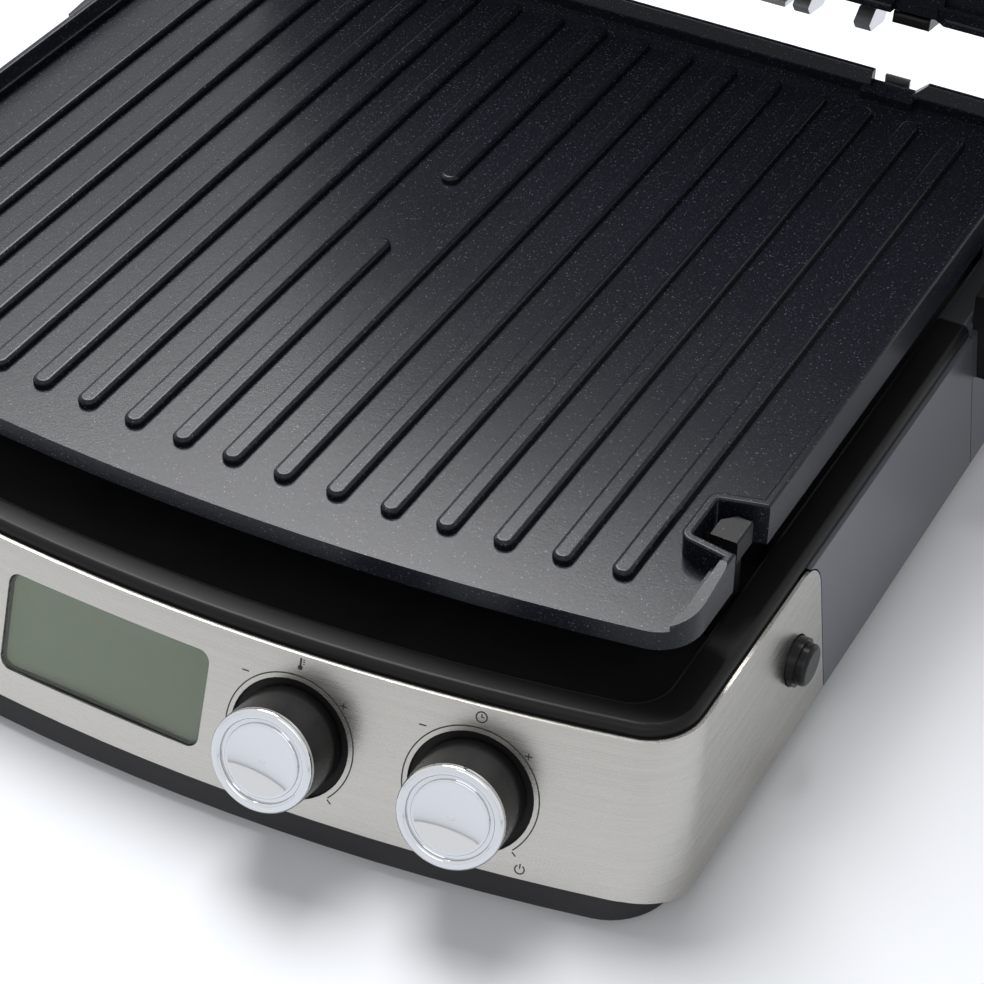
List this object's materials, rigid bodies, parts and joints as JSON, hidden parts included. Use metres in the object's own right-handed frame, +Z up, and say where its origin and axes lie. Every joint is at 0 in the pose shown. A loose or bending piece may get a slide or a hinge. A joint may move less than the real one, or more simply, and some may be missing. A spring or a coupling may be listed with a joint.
{
  "type": "electric contact grill",
  "caption": "Open electric contact grill with ridged non-stick plates, floating hinged lid with bar handle, steel fascia with display and knobs, and a grease tray.",
  "frame": {"origin": "On the table under the middle of the grill with its lid open", "axes": "+X to the right as seen from the front, +Y to the back, +Z up"},
  "size_m": [0.372, 0.4619, 0.449],
  "materials": {
    "nonstick": "non-stick coated cast aluminium, satin with fine speckle",
    "black_gloss": "semi-gloss black moulding",
    "black_matt": "matt black moulding",
    "satin_grey": "satin dark grey paint",
    "brushed": "horizontally brushed stainless steel",
    "chrome": "polished",
    "plain_steel": "plain pressed metal",
    "element": "heat-darkened sheath",
    "ceramic": "glazed ceramic",
    "rubber": "matt",
    "lens": "clear window",
    "lcd": "grey-green liquid crystal",
    "board": "circuit board",
    "relay": "moulded case",
    "copper": "wound transformer"
  },
  "bodies": {
    "base": {"bottom_tray": "black_matt", "rubber_feet": "rubber", "base_screws": "plain_steel", "base_tub": "black_matt", "upper_bezel": "black_gloss", "front_band": "brushed", "side_panel_right": "satin_grey", "side_panel_left": "satin_grey", "rear_cover": "satin_grey", "hinge_bracket_right": "black_gloss", "hinge_bracket_left": "black_gloss", "display_lens": "lens", "display_module": "lcd", "control_board": "board", "temp_encoder": "plain_steel", "time_encoder": "plain_steel", "power_board": "board", "power_relay": "relay", "power_transformer": "copper", "plate_tabs": "plain_steel", "latch_springs": "plain_steel", "lower_reflector_pan": "plain_steel", "lower_heating_element": "element", "lower_element_terminals": "ceramic", "lower_thermostat": "plain_steel"},
    "lower_plate": {"lower_grill_plate": "nonstick"},
    "drip_tray": {"grease_tray": "black_matt"},
    "temp_dial": {"temp_knob": "black_gloss", "temp_knob_cap": "chrome", "temp_knob_shaft": "plain_steel"},
    "time_dial": {"time_knob": "black_gloss", "time_knob_cap": "chrome", "time_knob_shaft": "plain_steel"},
    "base_release_right": {"release_button_right": "black_gloss", "plate_latch_right": "black_gloss"},
    "base_release_left": {"release_button_left": "black_gloss", "plate_latch_left": "black_gloss"},
    "lid_frame": {"lid_arm_right": "brushed", "lid_arm_left": "brushed", "hinge_pins": "plain_steel", "handle_bar": "brushed", "handle_collars": "black_gloss", "handle_screws": "plain_steel"},
    "lid": {"lid_bezel": "black_gloss", "lid_shell": "brushed", "lid_screws": "plain_steel", "lid_float_pins": "plain_steel", "lid_rear_bracket": "plain_steel", "lid_tongues": "black_gloss", "lid_hooks": "black_gloss", "lid_latch_springs": "plain_steel", "upper_reflector_pan": "plain_steel", "upper_heating_element": "element", "upper_element_terminals": "ceramic", "upper_thermostat": "plain_steel"},
    "upper_plate": {"upper_grill_plate": "nonstick"},
    "lid_release_right": {"lid_button_right": "black_gloss", "lid_latch_right": "black_gloss"},
    "lid_release_left": {"lid_button_left": "black_gloss", "lid_latch_left": "black_gloss"}
  },
  "joints": [
    {"name": "lid_hinge", "type": "hinge", "parent": "base", "child": "lid_frame", "pos_m": [0, 0.121, 0.0935], "axis": [-1, 0, 0], "range_deg": [-100, 0]},
    {"name": "lid_float", "type": "slide", "parent": "lid_frame", "child": "lid", "axis": [0, 0.9848, -0.1736], "range_m": [0, 0.01]},
    {"name": "lower_plate_lift", "type": "slide", "parent": "base", "child": "lower_plate", "axis": [0, 0, 1], "range_m": [0, 0.02]},
    {"name": "upper_plate_lift", "type": "slide", "parent": "lid", "child": "upper_plate", "axis": [0, -0.9848, 0.1736], "range_m": [0, 0.06]},
    {"name": "grease_tray_slide", "type": "slide", "parent": "base", "child": "drip_tray", "axis": [0, 1, 0], "range_m": [0, 0.3]},
    {"name": "temp_turn", "type": "hinge", "parent": "base", "child": "temp_dial", "pos_m": [0.0625, -0.2094, 0.0303], "axis": [0.0874, -0.9319, 0.3521], "continuous": true},
    {"name": "time_turn", "type": "hinge", "parent": "base", "child": "time_dial", "pos_m": [0.1167, -0.20212, 0.0303], "axis": [0.1616, -0.9232, 0.3488], "continuous": true},
    {"name": "base_release_right_push", "type": "slide", "parent": "base", "child": "base_release_right", "axis": [-1, 0, 0], "range_m": [0, 0.002], "stiffness_N_per_m": 900},
    {"name": "base_release_left_push", "type": "slide", "parent": "base", "child": "base_release_left", "axis": [1, 0, 0], "range_m": [0, 0.002], "stiffness_N_per_m": 900},
    {"name": "lid_release_right_push", "type": "slide", "parent": "lid", "child": "lid_release_right", "axis": [-1, 0, 0], "range_m": [0, 0.002], "stiffness_N_per_m": 900},
    {"name": "lid_release_left_push", "type": "slide", "parent": "lid", "child": "lid_release_left", "axis": [1, 0, 0], "range_m": [0, 0.002], "stiffness_N_per_m": 900}
  ]
}
